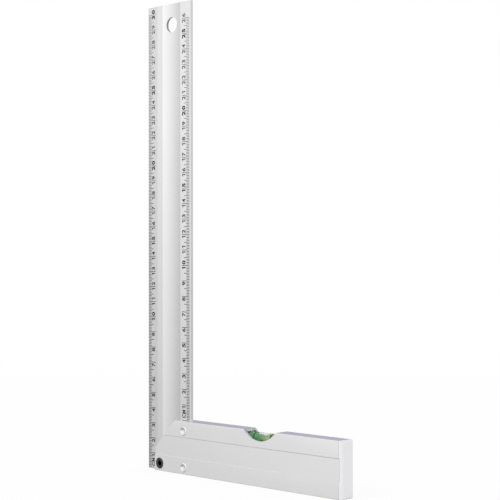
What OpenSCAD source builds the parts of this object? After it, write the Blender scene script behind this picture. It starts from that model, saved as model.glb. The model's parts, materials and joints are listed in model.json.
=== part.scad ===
// Aluminium try square with a hollow stock, a graduated blade and a spirit vial.
// The square stands on its stock: X runs along the stock, Y through its thickness
// (the graduated face looks to -Y) and Z up the blade. The origin is the middle of
// the footprint. Lengths are in millimetres, and X sizes are set out from the
// outer edge of the blade.

/* [Blade] */
// Length of the blade, from the foot of the stock to its free end
blade_len = 305; // [200:5:600]
// Width of the blade, from its outer to its inner edge
blade_w = 41.5; // [38:0.5:60]
// Thickness of the blade at its flat bands
blade_t = 2; // [1.6:0.1:2.6]
// Width of the sloping band that carries the outer scale
outer_band_w = 9.4; // [8:0.2:12]
// How far that band falls away at the outer edge
outer_band_drop = 0.4; // [0.1:0.05:0.6]
// Width of the flat ledge beside the outer band
ledge_w = 5; // [2:0.5:7]
// Width of the flat band that carries the inner scale
inner_band_w = 9.9; // [9:0.1:12]
// Depth of the hollow rolled down the middle of the blade
trough_depth = 0.45; // [0.2:0.05:0.7]
// Diameter of the hole that the square hangs by
hang_hole_d = 10; // [6:0.5:12]
// Distance from the free end to the middle of that hole
hang_hole_drop = 13.6; // [10:0.1:30]

/* [Stock] */
// Length of the extrusion, without its end cap
stock_len = 158.5; // [140:0.5:260]
// Height of the stock
stock_h = 34; // [30:0.5:44]
// Thickness of the stock over its raised bands
stock_t = 10.6; // [9.8:0.2:14]
// How far the blade stands out past the heel of the stock
heel_inset = 11.5; // [8:0.5:14]
// Height of the raised band along the top
upper_band_h = 10.1; // [9.4:0.1:12]
// Height of the raised band along the foot
lower_band_h = 10.3; // [9:0.1:12]
// Depth of the sunk middle band on each face
band_recess = 0.5; // [0.2:0.1:0.7]
// Thickness of the side walls behind the raised bands
side_wall = 1.6; // [1.4:0.1:1.8]
// Thickness of the top and bottom walls
edge_wall = 1.5; // [1.2:0.1:2]
// Rounding of the long outer corners
corner_r = 0.4; // [0.2:0.1:0.6]
// Height of the 45 degree mitre at the heel, measured down from the top
mitre_h = 19; // [10:1:24]

/* [Vial window] */
// Distance from the heel to the middle of the window
window_x = 95.4; // [90:0.1:110]
// Depth of the window below the top of the stock
window_depth = 6.3; // [4:0.1:7]
// Radius of the cutter that mills the window
window_r = 17.4; // [12:0.2:22]

/* [Vial] */
// Length of the vial over its plug
vial_len = 34; // [28:1:44]
// Thickness of the vial's wall round the middle of its chamber
vial_wall = 0.8; // [0.6:0.1:1.2]
// Thickness of the vial's closed end
vial_blind_t = 2; // [1:0.5:4]
// Length of the plug in the vial's other end
vial_plug_len = 3; // [2:0.5:5]
// How much wider the barrel shaped chamber is at its middle than at its ends
barrel_rise = 0.25; // [0.15:0.05:0.4]
// Radius of the bubble's underside
bubble_r = 6; // [5:0.5:8]
// Depth of the bubble below the crown of the chamber
bubble_depth = 1.9; // [1.2:0.1:2.4]
// Distance between the two marking rings
ring_gap = 14; // [10:0.2:16]
// Width of a marking ring
ring_w = 0.5; // [0.3:0.1:0.8]
// Wall of the cradle that carries the vial
cradle_wall = 1.2; // [1:0.1:1.6]
// How far the cradle's lips stay below the axis of the vial
cradle_lip = 2.2; // [2:0.1:2.8]

/* [Fastenings] */
// Distance from the heel to the socket screw
screw_x = 4.6; // [4.4:0.1:6]
// Height of the socket screw above the foot
screw_z = 5; // [4.6:0.1:5.6]
// Diameter of the screw's head
screw_head_d = 7; // [6:0.5:7.5]
// Height of the screw's head
screw_head_h = 2.8; // [2.2:0.1:3]
// Diameter of the screw's shank
screw_d = 4; // [3:0.5:4]
// Width across the flats of the screw's socket
socket_af = 3; // [2:0.5:3]
// Depth of the socket
socket_depth = 2; // [1.2:0.1:2.2]
// Thickness of the nut behind the blade
nut_t = 2; // [1.4:0.1:2.2]
// Width across the flats of the nut
nut_af = 7; // [6:0.5:7]
// Diameter of a rivet's shank
rivet_d = 3.2; // [2.4:0.1:3.6]
// Diameter of a rivet's flared head
rivet_head_d = 6; // [5:0.1:6.4]
// How far the lip of a rivet stands proud of the face
rivet_proud = 0.2; // [0.1:0.05:0.3]
// Distance from the blade's inner edge to the rivets
rivet_edge = 2.7; // [2.3:0.1:5]
// Height of the lower rivet above the foot
rivet_low_z = 4.4; // [4:0.1:6]
// Distance of the upper rivet below the top of the stock
rivet_up_drop = 6.2; // [4.6:0.1:7]
// Length of the packers past the blade's inner edge
packer_over = 4.5; // [2:0.5:8]

/* [End cap] */
// Thickness of the cap's flange
cap_t = 2.8; // [1:0.1:3]
// Rounding of the flange's upright edges
cap_side_r = 2.2; // [1.2:0.1:3]
// Rounding of the flange's top and bottom edges
cap_end_r = 2; // [1.2:0.1:3]
// Length of the plug inside the stock
plug_len = 12; // [6:1:18]
// Wall of that hollow plug
plug_wall = 1.3; // [1:0.1:1.8]
// Number of grip ribs on each broad side of the plug
plug_ribs = 4; // [2:1:5]

/* [Graduation] */
// Width of a graduation line
line_w = 0.28; // [0.2:0.02:0.36]
// Thickness of the printed ink
ink_t = 0.04; // [0.03:0.01:0.06]
// Length of a millimetre line
mm_line = 2.8; // [2:0.1:3.2]
// Length of a half centimetre line
half_line = 5; // [4:0.1:5.4]
// Length of a centimetre line
cm_line = 7; // [6:0.1:7.4]
// Bare margin between the outer edge and the outer scale
outer_margin = 0.2; // [0.1:0.1:0.5]
// Bare margin between the inner edge and the inner scale
inner_margin = 1.3; // [0.6:0.1:1.5]

/* [Fits] */
// Clearance of a piece that slides inside the stock, on each side
slide_fit = 0.1; // [0.06:0.01:0.15]
// Clearance of a shank in its hole, on each side
shank_fit = 0.05; // [0.03:0.01:0.1]

/* [Hidden] */

$fn = 96;
long_arc_fn = 720;   // segments in a full turn of a wide, shallow arc
barrel_steps = 8;    // straight steps along the chamber's crowned side
over = 1;            // how far a cutter runs past what it cuts
tip = 0.3;           // small chamfers on turned and moulded ends
scale_end = 2;       // least bare length of blade past the last line

overall_len = heel_inset + stock_len + cap_t;
front_y = -stock_t / 2;
blade_front = -blade_t / 2;
joint_x = heel_inset + stock_len;

cavity_w = stock_t - 2 * side_wall;
cavity_h = stock_h - 2 * edge_wall;
slot_w = blade_t + 2 * slide_fit;

trough_w = blade_w - outer_band_w - ledge_w - inner_band_w;
trough_mid = outer_band_w + ledge_w + trough_w / 2;
trough_r = (trough_w * trough_w / 4 + trough_depth * trough_depth) / (2 * trough_depth);

window_mid = heel_inset + window_x;
vial_r = cavity_w / 2 - slide_fit;
vial_z = stock_h - edge_wall - slide_fit - vial_r;
vial_left = window_mid - vial_len / 2;
chamber_r = vial_r - vial_wall;
chamber_len = vial_len - vial_blind_t - vial_plug_len;
ring_t = slide_fit / 2;
bubble_z = vial_z + chamber_r - bubble_depth + bubble_r;

screw_mid = heel_inset + screw_x;
head_seat = front_y + slide_fit + screw_head_h;
rivet_mid = blade_w - rivet_edge;
rivet_up_z = stock_h - rivet_up_drop;
packer_t = cavity_w / 2 - slide_fit - blade_t / 2;
packer_back_y = cavity_w / 2 - slide_fit;

outer_marks = 10 * floor((blade_len - scale_end) / 10);
inner_marks = 10 * floor((blade_len - stock_h - scale_end) / 10);

// Sets a part out from the outer edge of the blade
module set_out() {
    translate([-overall_len / 2, 0, 0]) children();
}

// Runs a flat outline, drawn as Y and Z, along X
module along_x(x, length) {
    translate([x, 0, 0]) rotate([90, 0, 90]) linear_extrude(length) children();
}

// Runs a flat outline, drawn as X and Z, through the whole thickness
module through_y(thickness) {
    rotate([90, 0, 0]) linear_extrude(thickness, center = true) children();
}

// Round bar or bore across the stock, from one Y to another
module cross_bar(x, z, r, y_from, y_to) {
    translate([x, y_from, z]) rotate([-90, 0, 0]) cylinder(h = y_to - y_from, r = r);
}

// Hexagonal bar or pocket across the stock
module cross_hex(x, z, across_flats, y_from, y_to) {
    translate([x, y_from, z]) rotate([-90, 0, 0])
        cylinder(h = y_to - y_from, d = across_flats / cos(30), $fn = 6);
}

// Upright rectangle with four round corners, centred on Y and standing on Z = 0
module round_rectangle(width, height, r) {
    translate([-width / 2 + r, 0]) square([width - 2 * r, height]);
    translate([-width / 2, r]) square([width, height - 2 * r]);
    for (y = [-1, 1], z = [r, height - r])
        translate([y * (width / 2 - r), z]) circle(r);
}

// Outside section of the stock, with a sunk band down each face
module stock_outline() {
    sunk_from = lower_band_h;
    sunk_to = stock_h - upper_band_h;
    difference() {
        round_rectangle(stock_t, stock_h, corner_r);
        for (side = [-1, 1])
            scale([side, 1])
                polygon([[stock_t / 2 + over, sunk_from - over],
                         [stock_t / 2 - band_recess, sunk_from + band_recess],
                         [stock_t / 2 - band_recess, sunk_to - band_recess],
                         [stock_t / 2 + over, sunk_to + over]]);
    }
}

// Everything above and left of the 45 degree mitre at the heel
module mitre_waste() {
    through_y(stock_t + 2 * over)
        polygon([[heel_inset - over, stock_h - mitre_h - over],
                 [heel_inset + mitre_h + over, stock_h + over],
                 [heel_inset - over, stock_h + over]]);
}

// Holes that the two rivets share through every piece they hold
module rivet_holes() {
    for (z = [rivet_low_z, rivet_up_z])
        cross_bar(rivet_mid, z, rivet_d / 2 + shank_fit, front_y - over, -front_y + over);
}

// Section of the blade: sloping outer band, ledge, shallow trough, inner band
module blade_section() {
    difference() {
        polygon([[0, blade_front + outer_band_drop], [outer_band_w, blade_front],
                 [blade_w, blade_front], [blade_w, -blade_front], [0, -blade_front]]);
        translate([trough_mid, blade_front + trough_depth - trough_r])
            circle(trough_r, $fn = long_arc_fn);
    }
}

module blade() {
    color("silver") set_out() difference() {
        linear_extrude(blade_len) blade_section();
        cross_bar(trough_mid, blade_len - hang_hole_drop, hang_hole_d / 2, -blade_t, blade_t);
        rivet_holes();
        cross_bar(screw_mid, screw_z, screw_d / 2 + slide_fit, -blade_t, blade_t);
    }
}

// Length of the graduation line at a number of millimetres
function line_len(i) = i % 10 == 0 ? cm_line : i % 5 == 0 ? half_line : mm_line;

// Y of the blade's sloping band at a distance from the outer edge
function outer_band_y(x) = blade_front + outer_band_drop * (1 - x / outer_band_w);

// One printed line, centred on a height but never below the foot
module printed_line(z) {
    z_from = max(z - line_w / 2, 0);
    translate([0, 0, z_from]) linear_extrude(z + line_w / 2 - z_from) children();
}

module scale_outer() {
    color("dimgray") set_out() for (i = [0:outer_marks]) {
        x_to = outer_margin + line_len(i);
        printed_line(i)
            polygon([[outer_margin, outer_band_y(outer_margin)], [x_to, outer_band_y(x_to)],
                     [x_to, outer_band_y(x_to) - ink_t],
                     [outer_margin, outer_band_y(outer_margin) - ink_t]]);
    }
}

module scale_inner() {
    color("dimgray") set_out() for (i = [0:inner_marks])
        printed_line(stock_h + i)
            translate([blade_w - inner_margin - line_len(i), blade_front - ink_t])
                square([line_len(i), ink_t]);
}

// Countersinks on both faces for the flared heads of the rivets
module rivet_countersinks() {
    sink = rivet_head_d / 2 - rivet_d / 2;
    for (z = [rivet_low_z, rivet_up_z], side = [-1, 1])
        translate([rivet_mid, side * stock_t / 2, z]) rotate([side * 90, 0, 0])
            cylinder(h = sink, r1 = rivet_head_d / 2 + shank_fit, r2 = rivet_d / 2 + shank_fit);
}

module stock() {
    color("gainsboro") set_out() difference() {
        along_x(heel_inset, stock_len) stock_outline();
        translate([heel_inset - over, -cavity_w / 2, edge_wall])
            cube([stock_len + 2 * over, cavity_w, cavity_h]);
        translate([heel_inset - over, -slot_w / 2, -over])
            cube([blade_w + slide_fit - heel_inset + over, slot_w, stock_h + 2 * over]);
        cross_bar(window_mid, stock_h - window_depth + window_r, window_r,
                  front_y - over, -front_y + over);
        cross_bar(screw_mid, screw_z, screw_head_d / 2 + slide_fit, front_y - over, 0);
        rivet_holes();
        rivet_countersinks();
        mitre_waste();
    }
}

// Plain block of one packer, flush with the heel and the mitre
module packer_block(y_from) {
    difference() {
        translate([heel_inset, y_from, edge_wall + slide_fit])
            cube([blade_w + packer_over - heel_inset, packer_t, cavity_h - 2 * slide_fit]);
        mitre_waste();
        rivet_holes();
        cross_bar(screw_mid, screw_z, screw_d / 2 + slide_fit, -stock_t, stock_t);
    }
}

module packer_front() {
    color("lightgray") set_out() difference() {
        packer_block(blade_front - packer_t);
        cross_bar(screw_mid, screw_z, screw_head_d / 2 + slide_fit, -stock_t, head_seat);
    }
}

module packer_back() {
    color("lightgray") set_out() difference() {
        packer_block(-blade_front);
        cross_hex(screw_mid, screw_z, nut_af + 2 * slide_fit,
                  packer_back_y - nut_t - shank_fit, stock_t);
    }
}

module heel_screw() {
    head_y = front_y + slide_fit;
    color("#1c1c1e") set_out() difference() {
        union() {
            cross_bar(screw_mid, screw_z, screw_d / 2, head_seat, packer_back_y);
            cross_bar(screw_mid, screw_z, screw_head_d / 2, head_y + tip, head_seat);
            translate([screw_mid, head_y, screw_z]) rotate([-90, 0, 0])
                cylinder(h = tip, r1 = screw_head_d / 2 - tip, r2 = screw_head_d / 2);
        }
        cross_hex(screw_mid, screw_z, socket_af, head_y - over, head_y + socket_depth);
    }
}

module heel_nut() {
    color("darkgray") set_out() difference() {
        cross_hex(screw_mid, screw_z, nut_af, packer_back_y - nut_t, packer_back_y);
        cross_bar(screw_mid, screw_z, screw_d / 2 + shank_fit, -stock_t, stock_t);
    }
}

// Solid rivet whose two ends are flared into the countersinks and dished
module rivet(z) {
    head_r = rivet_head_d / 2;
    shank_r = rivet_d / 2;
    dish_rim = head_r - tip;
    dish_depth = head_r - shank_r - tip;
    dish_r = (dish_rim * dish_rim + dish_depth * dish_depth) / (2 * dish_depth);
    half_len = stock_t / 2 + rivet_proud;
    sink_y = stock_t / 2 - (head_r - shank_r);
    color("whitesmoke") set_out() translate([rivet_mid, 0, z]) rotate([-90, 0, 0])
        difference() {
            rotate_extrude()
                polygon([[0, -half_len], [head_r, -half_len], [head_r, -stock_t / 2],
                         [shank_r, -sink_y], [shank_r, sink_y], [head_r, stock_t / 2],
                         [head_r, half_len], [0, half_len]]);
            for (side = [-1, 1])
                translate([0, 0, side * (half_len + dish_r - dish_depth)]) sphere(dish_r);
        }
}

module rivet_lower() {
    rivet(rivet_low_z);
}

module rivet_upper() {
    rivet(rivet_up_z);
}

// Radius of the chamber at a share of its length, from 0 to 1
function barrel_radius(share) = chamber_r - barrel_rise * pow(2 * share - 1, 2);

// Barrel shaped space inside the vial, widest at the middle of its length
module chamber() {
    translate([vial_left + vial_blind_t, 0, vial_z]) rotate([0, 90, 0])
        rotate_extrude()
            polygon([[0, 0],
                     for (i = [0:barrel_steps])
                         [barrel_radius(i / barrel_steps), chamber_len * i / barrel_steps],
                     [0, chamber_len]]);
}

// Round bar along the vial's axis
module vial_bar(x, length, r) {
    translate([x, 0, vial_z]) rotate([0, 90, 0]) cylinder(h = length, r = r);
}

module vial_tube() {
    color("honeydew") set_out() difference() {
        vial_bar(vial_left, vial_len, vial_r);
        chamber();
        vial_bar(vial_left + vial_len - vial_plug_len, vial_plug_len + over,
                 chamber_r - barrel_rise);
    }
}

module vial_plug() {
    color("honeydew") set_out()
        vial_bar(vial_left + vial_len - vial_plug_len, vial_plug_len,
                 chamber_r - barrel_rise);
}

module vial_liquid() {
    color("limegreen") set_out() difference() {
        chamber();
        translate([window_mid, 0, bubble_z]) sphere(bubble_r);
    }
}

// Marking ring printed round the outside of the vial
module vial_ring(side) {
    x = window_mid + side * ring_gap / 2 - ring_w / 2;
    color("#202522") set_out() difference() {
        vial_bar(x, ring_w, vial_r + ring_t);
        vial_bar(x - over, ring_w + 2 * over, vial_r);
    }
}

module vial_ring_left() {
    vial_ring(-1);
}

module vial_ring_right() {
    vial_ring(1);
}

// Moulded saddle on two long walls, with a stop at each end of the vial
module vial_cradle() {
    half_w = cavity_w / 2 - slide_fit;
    groove_r = vial_r + slide_fit;
    lip_z = vial_z - cradle_lip;
    stop_x = vial_left - slide_fit - cradle_wall;
    whole_len = vial_len + 2 * (slide_fit + cradle_wall);
    color("white") set_out() difference() {
        translate([stop_x, -half_w, edge_wall])
            cube([whole_len, 2 * half_w, vial_z - edge_wall]);
        translate([vial_left - slide_fit, -half_w - over, lip_z])
            cube([vial_len + 2 * slide_fit, 2 * (half_w + over), vial_z]);
        vial_bar(vial_left - slide_fit, vial_len + 2 * slide_fit, groove_r);
        translate([stop_x + cradle_wall, cradle_wall - half_w, edge_wall - over])
            cube([whole_len - 2 * cradle_wall, 2 * (half_w - cradle_wall),
                  vial_z - groove_r - cradle_wall - edge_wall + over]);
    }
}

// Flange that carries on the section of the stock, with its outer edges rounded
module cap_flange() {
    end_x = joint_x + cap_t;
    intersection() {
        along_x(joint_x, cap_t) stock_outline();
        translate([end_x - stock_len / 2, 0, 0]) linear_extrude(stock_h)
            rotate(90) translate([0, -stock_len / 2])
                round_rectangle(stock_t, stock_len, cap_side_r);
        through_y(stock_t)
            translate([end_x - stock_len / 2, 0])
                round_rectangle(stock_len, stock_h, cap_end_r);
    }
}

module end_cap() {
    plug_w = cavity_w - 2 * slide_fit;
    plug_h = cavity_h - 2 * slide_fit;
    rib_w = 1;
    rib_pitch = plug_h / plug_ribs;
    color("whitesmoke") set_out() {
        cap_flange();
        difference() {
            translate([joint_x - plug_len, -plug_w / 2, edge_wall + slide_fit])
                cube([plug_len, plug_w, plug_h]);
            translate([joint_x - plug_len - over, plug_wall - plug_w / 2,
                       edge_wall + slide_fit + plug_wall])
                cube([plug_len + over, plug_w - 2 * plug_wall, plug_h - 2 * plug_wall]);
        }
        for (side = [-1, 1], i = [0:plug_ribs - 1])
            translate([joint_x - plug_len + tip, side * plug_w / 2 - slide_fit / 2,
                       edge_wall + slide_fit + (i + 0.5) * rib_pitch - rib_w / 2])
                cube([plug_len - tip, slide_fit, rib_w]);
    }
}

blade();
scale_outer();
scale_inner();
stock();
packer_front();
packer_back();
heel_screw();
heel_nut();
rivet_lower();
rivet_upper();
vial_tube();
vial_plug();
vial_liquid();
vial_ring_left();
vial_ring_right();
vial_cradle();
end_cap();
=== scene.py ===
import json
import math

import bmesh
import bpy
from bpy.props import FloatProperty, FloatVectorProperty, IntProperty, PointerProperty
from mathutils import Matrix, Vector


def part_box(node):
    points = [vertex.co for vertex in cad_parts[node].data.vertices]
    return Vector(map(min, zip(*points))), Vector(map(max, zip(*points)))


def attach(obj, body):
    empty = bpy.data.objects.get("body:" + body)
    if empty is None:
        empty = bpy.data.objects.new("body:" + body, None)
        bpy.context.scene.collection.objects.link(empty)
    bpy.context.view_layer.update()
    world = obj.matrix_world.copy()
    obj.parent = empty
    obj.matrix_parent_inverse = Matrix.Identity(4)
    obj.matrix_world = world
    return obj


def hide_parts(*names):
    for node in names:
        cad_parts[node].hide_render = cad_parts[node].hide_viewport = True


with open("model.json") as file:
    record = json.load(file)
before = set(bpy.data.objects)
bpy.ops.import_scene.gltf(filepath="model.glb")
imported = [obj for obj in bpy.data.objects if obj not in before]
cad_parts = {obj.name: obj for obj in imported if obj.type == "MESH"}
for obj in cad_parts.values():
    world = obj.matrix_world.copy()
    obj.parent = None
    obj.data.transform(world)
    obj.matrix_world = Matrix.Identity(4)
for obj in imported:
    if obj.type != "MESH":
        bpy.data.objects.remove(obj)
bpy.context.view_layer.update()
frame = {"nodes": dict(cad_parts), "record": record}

bl_info = {
    "name": "Try Square",
    "version": (1, 0, 0),
    "blender": (4, 5, 0),
    "location": "3D View > Sidebar > Try Square",
    "description": "Dresses a try square with a graduated blade and a spirit vial",
    "category": "Object",
}

MM = 0.001
WELD = 0.002 * MM            # vertices closer than this are one
FLAT = math.radians(0.3)     # faces that turn less than this are one face
FLATTER = FLAT / 4           # the same where the hollow's narrow faces have to stay
FINE_STEPS = 96              # steps round the drill, the screw and the vial
RIVET_STEPS = 64             # steps round a rivet
DISH_STEPS = 12              # steps down the dish of a rivet
BARREL_STEPS = 32            # steps along the vial's chamber
BUBBLE_STEPS = 64            # steps from the bubble's foot to its top
BREAK_STEPS = 2              # narrow faces across a broken edge
DRILL_REACH = 4              # length of the drill in thicknesses of the blade
HEXAGON = 6                  # sides of the screw's socket
HEAD_TURNS = (0, 22.5, 45, 67.5, 90)    # degrees round the edge of its head
ACROSS = 0.5                 # normals of the hole's wall have less Y than this
UPRIGHT = 0.1                # the same for the window's wall
ON_ARC = 0.1 * MM            # how near to the cutter's arc that wall is
MITRED, SAWN_SQUARE = -0.5, 0.9    # normals of sawn ends have an X beyond these
GLYPH_HALF = 0.5             # half the thickness of a glyph before it is flattened
NUMBER_STEP = 10             # millimetres from one number to the next
BOLD_STEP = 5                # numbers from one bold one to the next
OUTER_LAST, INNER_LAST = 30, 26    # last numbers of the two scales
PAINTED_JOINT_SHADE = 0.45           # brightness of the painted shadow at a joint, as a share of the colour
JOINT_FROM, JOINT_TO = 0.1 * MM, 0.3 * MM    # where that painted shadow fades out
CAD_NORMALS = "custom_normal"    # shading that a copy of a CAD mesh brings along

MOUNTS = {mount["name"]: mount for mount in frame["record"]["mounts"]}
HOLE = MOUNTS["hanging_hole"]
BLADE_LOW, BLADE_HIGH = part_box("blade")
STOCK_LOW, STOCK_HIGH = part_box("stock")
SCREW_LOW, SCREW_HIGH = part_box("heel_screw")
VIAL_LOW, VIAL_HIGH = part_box("vial_tube")
LIQUID_LOW, LIQUID_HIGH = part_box("vial_liquid")
PLUG_LOW, PLUG_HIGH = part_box("vial_plug")


# Settings

def length(label, words, millimetres):
    """A setting for a length, with its default in millimetres"""
    return FloatProperty(
        name=label, description=words, default=millimetres * MM, unit="LENGTH")


def tint(label, words, colour):
    """A setting for a colour"""
    return FloatVectorProperty(
        name=label, description=words, subtype="COLOR", size=3, default=colour)


class BladeSettings(bpy.types.PropertyGroup):
    """Sizes and finish of the blade"""
    outer_band: length("Outer band", "Width of the sloping band with the outer scale", 9.4)
    outer_drop: length("Outer drop", "How far that band falls away at the outer edge", 0.4)
    ledge: length("Ledge", "Width of the flat ledge beside the outer band", 5)
    inner_band: length("Inner band", "Width of the flat band with the inner scale", 9.9)
    trough_depth: length("Trough depth", "Depth of the hollow down the middle", 0.45)
    trough_steps: IntProperty(
        name="Trough steps", description="Narrow faces across the hollow", default=48)
    edge_break: length("Edge break", "Width of the broken edges", 0.12)
    colour: tint("Blade colour", "Satin anodised aluminium of the blade", (0.80, 0.80, 0.80))
    roughness: FloatProperty(
        name="Roughness", description="Roughness of the blade's finish", default=0.24)
    hole_colour: tint(
        "Hole colour", "Aluminium as the drill left it in the hole", (0.36, 0.36, 0.37))


class NumberSettings(bpy.types.PropertyGroup):
    """Sizes and inks of the printed numbers, and the spread of the lines"""
    outer_base: length(
        "Outer base", "Outer edge of the blade to the foot of its numbers", 6.7)
    inner_base: length(
        "Inner base", "Outer edge of the blade to the foot of the inner numbers", 36.5)
    spread: FloatProperty(
        name="Spread", description="Width of a printed line against its nominal width",
        default=1.5)
    height: length("Height", "Height of a digit", 3.25)
    widen: FloatProperty(
        name="Widen", description="Width of a digit against the font's own", default=1.25)
    widest: length("Widest", "Width that a wide letter is narrowed to", 2.45)
    widest_bold: length("Widest bold", "The same for a bold one", 2.95)
    one_stem: FloatProperty(
        name="Stem of a 1", description="Width of a 1's stem before it is thickened, in "
        "font units", default=0.055)
    one_height: FloatProperty(
        name="Height of a 1", description="Height of a 1 in font units", default=0.70)
    one_width: FloatProperty(
        name="Width of a 1", description="Width of a 1 with its flag, in font units",
        default=0.27)
    flag_top: FloatProperty(
        name="Flag top", description="Height of the upper corner of a 1's flag, in font "
        "units", default=0.55)
    flag_low: FloatProperty(
        name="Flag low", description="Height of the lower corner of a 1's flag, in font "
        "units", default=0.42)
    weight: FloatProperty(
        name="Weight", description="How much each stroke is thickened, in font units",
        default=0.032)
    bold: FloatProperty(
        name="Bold", description="The same for each fifth number", default=0.050)
    below: length("Below", "Line to the middle of the digit below it", 1.7)
    above: length("Above", "Line to the middle of the second digit, above it", 1.95)
    unit_gap: length(
        "Unit gap", "Middle of the first digit to the middle of the M, and from there to "
        "the C", 2.8)
    ink_depth: length("Ink depth", "Thickness of the ink", 0.03)
    colour: tint("Ink colour", "Printed scales and numbers", (0.035, 0.035, 0.038))
    thin_line: tint(
        "Thin lines", "Lines at the blade's free end, where the print is thinner and "
        "greyer", (0.27, 0.27, 0.275))
    thin_number: tint(
        "Thin numbers", "The same for the numbers, bold ones left out", (0.15, 0.15, 0.153))
    thin_from: length("Thin from", "Height from which the print grows thinner", 130)


class StockSettings(bpy.types.PropertyGroup):
    """Finish of the stock and its fastenings"""
    edge_break: length("Edge break", "Width of the broken edges of the extrusion", 0.14)
    window_radius: length(
        "Window radius", "Radius of the cutter that milled the window", 17.4)
    window_depth: length("Window depth", "Depth of the window below the top", 6.3)
    colour: tint(
        "Stock colour", "Satin anodised aluminium of the stock", (0.885, 0.885, 0.885))
    roughness: FloatProperty(
        name="Roughness", description="Roughness of the stock's finish", default=0.30)
    milled_colour: tint(
        "Milled colour", "Aluminium as the cutter left it", (0.53, 0.53, 0.54))
    rivet_colour: tint("Rivet colour", "Bright aluminium of the rivets", (0.88, 0.88, 0.89))
    screw_colour: tint("Screw colour", "Black oxide of the socket screw", (0.08, 0.08, 0.082))
    packer_colour: tint(
        "Packer colour", "Moulded packers inside the stock", (0.42, 0.42, 0.43))
    cap_colour: tint("Cap colour", "Moulded end cap", (0.81, 0.81, 0.825))
    socket_flats: length("Socket", "Width across the flats of the screw's socket", 2.5)
    socket_depth: length("Socket depth", "Depth of the screw's socket", 1.5)
    socket_break: length("Socket break", "Width of the socket's broken mouth", 0.15)
    head_height: length("Head height", "Height of the screw's head", 2.8)
    head_round: length("Head rounding", "Radius of the rounding round the screw's head", 0.45)
    screw_radius: length("Screw radius", "Radius of the screw's shank", 2)
    nut_colour: tint("Nut colour", "Zinc plate of the nut", (0.62, 0.62, 0.64))
    rivet_shank: length("Rivet shank", "Radius of a rivet's shank", 1.6)
    rivet_flank: length("Rivet flank", "Width of the slope outside a rivet's crest", 0.5)
    rivet_crest: length("Rivet crest", "Width of the crest round a rivet's dish", 0.1)
    rivet_dish: length("Rivet dish", "Depth of the dish in a rivet's head", 0.8)
    rivet_floor: length("Rivet floor", "Radius of the dish's flat middle", 1.0)
    cap_break: length("Cap break", "Width of the cap's broken edges", 0.12)


class VialSettings(bpy.types.PropertyGroup):
    """Sizes and colours of the spirit vial"""
    barrel_rise: length("Barrel rise", "How much wider the chamber is at its middle", 0.25)
    bubble_radius: length("Bubble radius", "Radius of the bubble's underside", 6)
    bubble_depth: length("Bubble depth", "Depth of the bubble below the chamber's crown", 1.9)
    cloudy: FloatProperty(
        name="Cloudy", description="Share of the spirit's colour that scatters light",
        default=0.65)
    wetting: length(
        "Wetting", "How far the liquid reaches into the tube, so that no film of air is "
        "left between them", 0.02)
    round_end: length("Round end", "Broken edge at the ends of the tube", 0.3)
    ring_colour: tint("Ring colour", "Ink of the two marking rings", (0.01, 0.015, 0.01))
    tube_colour: tint("Tube colour", "Clear acrylic", (0.825, 0.83, 0.89))
    liquid_colour: tint("Liquid colour", "Dyed spirit at both ends", (0.17, 0.76, 0.21))
    # painted light: a lighter yellow-green painted into the spirit right of the vial's middle
    liquid_light: tint(
        "Painted light in the liquid", "Painted light on the spirit right of the vial's middle", (0.84, 1.00, 0.33))
    cradle_colour: tint("Cradle colour", "Moulded cradle", (0.82, 0.82, 0.50))


class StageSettings(bpy.types.PropertyGroup):
    """Camera, floor and lamps"""
    camera_place: FloatVectorProperty(
        name="Camera", description="Where the camera stands", subtype="TRANSLATION",
        unit="LENGTH", size=3, default=(0.578612, -0.579859, 0.136696))
    camera_turn: FloatProperty(
        name="Turn", description="Camera's turn to the left of +Y",
        default=math.radians(44.563), unit="ROTATION")
    camera_lift: FloatProperty(
        name="Lift", description="Camera's lift above the horizon",
        default=math.radians(0.486), unit="ROTATION")
    camera_roll: FloatProperty(
        name="Roll", description="Camera's roll about its own axis",
        default=math.radians(-0.07), unit="ROTATION")
    lens: FloatProperty(
        name="Lens", description="Focal length in millimetres on a 36 mm sensor",
        default=95.228)
    floor_size: FloatProperty(
        name="Floor", description="Half the side of the floor", default=4.0, unit="LENGTH")
    floor_colour: tint("Floor colour", "Pale floor", (0.94, 0.94, 0.94))
    floor_white: FloatProperty(
        name="Floor white", description="How much of the floor near the square is plain "
        "white to the camera, where the rest keeps its shadow", default=0.90)
    fill: FloatProperty(
        name="Fill", description="Even light from all round", default=0.82)
    key_power: FloatProperty(
        name="Key", description="Power of the soft lamp in front, in watts", default=4.0)
    side_power: FloatProperty(
        name="Side", description="Power of the soft lamp on the right, in watts",
        default=1.5)
    tent_size: FloatProperty(
        name="Tent", description="Radius of the tent that the metal reflects", default=3.0,
        unit="LENGTH")
    tent_low: FloatProperty(
        name="Tent below", description="Brightness of the tent underneath", default=0.40)
    tent_level: FloatProperty(
        name="Tent level", description="Brightness of the tent at the horizon", default=1.03)
    tent_rise: FloatProperty(
        name="Tent rise", description="How much brighter the tent grows from just under "
        "the horizon to just over it", default=0.46)


# Materials

DIE_LINES = 0.012            # how little the die lines change along a piece
ROUGH_SPREAD = 0.03          # how far an extrusion's roughness goes up and down
PRINT_GRAIN = 1800           # scale of the print's unevenness
PRINT_SPREAD = 0.25          # how much that lightens and darkens the ink
PRINT_ROUGHNESS = (0.5, 0.62)
MOULD_GRAIN = 0.006 * MM     # depth of the grain of moulded plastic
# Where the painted light on the spirit begins and where it ends, right of the middle, and the
# shares of that way between which that painted light is brightest
PAINTED_LIGHT_FROM, PAINTED_LIGHT_TO = -3 * MM, 10 * MM
PAINTED_LIGHT_PART = (0.48, 0.65)
PAINTED_LIGHT_WANDER = 0.10          # how far the drift moves that painted light, as a share


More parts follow.
